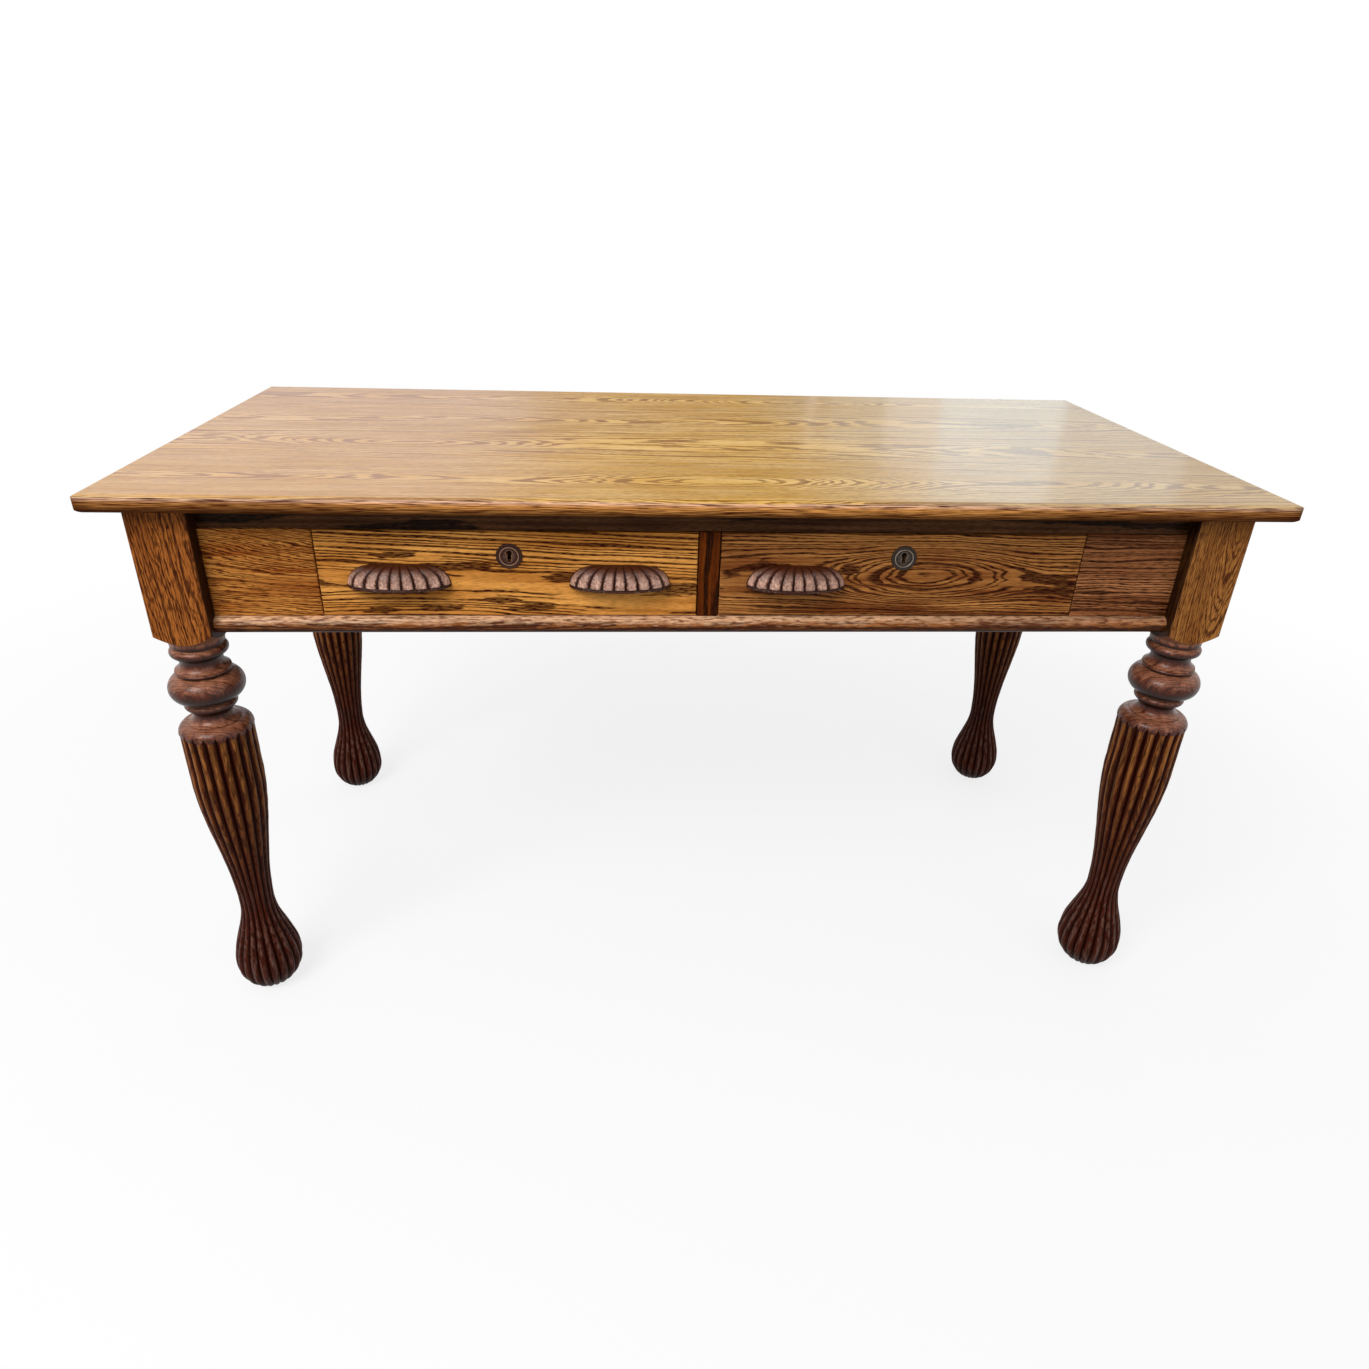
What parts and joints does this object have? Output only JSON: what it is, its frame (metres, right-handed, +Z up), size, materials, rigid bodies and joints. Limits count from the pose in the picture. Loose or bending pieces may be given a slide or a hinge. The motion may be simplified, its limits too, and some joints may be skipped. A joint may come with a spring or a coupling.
{
  "type": "library table",
  "caption": "Oak library table with a rounded-edge board top, square-topped turned and reeded legs, and lockable drawers in a moulded front.",
  "frame": {"origin": "on the floor under the middle of the top", "axes": "+X to the right along the table's length, +Y from the drawers to the back, +Z up"},
  "size_m": [1.414, 0.67, 0.762],
  "materials": {
    "top_oak": "old varnish, glossy",
    "frame_oak": "old varnish, satin",
    "drawer_oak": "old varnish, satin",
    "leg_oak": "dark varnish, satin, worn on the reeds",
    "dark_oak": "dark varnish, satin",
    "pull_walnut": "carved, oiled",
    "inner_pine": "bare, planed",
    "escutcheon_bronze": "dark patina",
    "lock_brass": "dull",
    "screw_steel": "dull"
  },
  "bodies": {
    "frame": {"top_front_board": "top_oak", "top_second_board": "top_oak", "top_third_board": "top_oak", "top_back_board": "top_oak", "front_left_leg": "leg_oak", "front_right_leg": "leg_oak", "back_left_leg": "leg_oak", "back_right_leg": "leg_oak", "top_rail": "dark_oak", "bottom_rail": "frame_oak", "left_end_panel": "frame_oak", "right_end_panel": "frame_oak", "centre_stile": "dark_oak", "left_apron": "frame_oak", "right_apron": "frame_oak", "back_apron": "frame_oak", "left_runner": "inner_pine", "centre_runner": "inner_pine", "right_runner": "inner_pine", "left_guide": "inner_pine", "centre_guide": "inner_pine", "right_guide": "inner_pine", "left_kicker": "inner_pine", "centre_kicker": "inner_pine", "right_kicker": "inner_pine", "drawer_stops": "inner_pine", "top_buttons": "frame_oak", "top_screws": "screw_steel"},
    "left_drawer": {"left_drawer_front": "drawer_oak", "left_drawer_left_side": "inner_pine", "left_drawer_right_side": "inner_pine", "left_drawer_back": "inner_pine", "left_drawer_bottom": "inner_pine", "left_drawer_bottom_screws": "screw_steel", "left_lock_case": "lock_brass", "left_lock_screws": "lock_brass", "left_escutcheon": "escutcheon_bronze", "left_drawer_left_pull": "pull_walnut", "left_drawer_right_pull": "pull_walnut", "left_drawer_pull_screws": "screw_steel"},
    "right_drawer": {"right_drawer_front": "drawer_oak", "right_drawer_left_side": "inner_pine", "right_drawer_right_side": "inner_pine", "right_drawer_back": "inner_pine", "right_drawer_bottom": "inner_pine", "right_drawer_bottom_screws": "screw_steel", "right_lock_case": "lock_brass", "right_lock_screws": "lock_brass", "right_escutcheon": "escutcheon_bronze", "right_drawer_left_pull": "pull_walnut", "right_drawer_pull_screws": "screw_steel"},
    "left_bolt": {"left_lock_bolt": "lock_brass"},
    "right_bolt": {"right_lock_bolt": "lock_brass"}
  },
  "joints": [
    {"name": "left_drawer_slide", "type": "slide", "parent": "frame", "child": "left_drawer", "axis": [0, -1, 0], "range_m": [0, 0.38]},
    {"name": "right_drawer_slide", "type": "slide", "parent": "frame", "child": "right_drawer", "axis": [0, -1, 0], "range_m": [0, 0.38]},
    {"name": "left_bolt_slide", "type": "slide", "parent": "left_drawer", "child": "left_bolt", "axis": [0, 0, 1], "range_m": [0, 0.008]},
    {"name": "right_bolt_slide", "type": "slide", "parent": "right_drawer", "child": "right_bolt", "axis": [0, 0, 1], "range_m": [0, 0.008]}
  ]
}
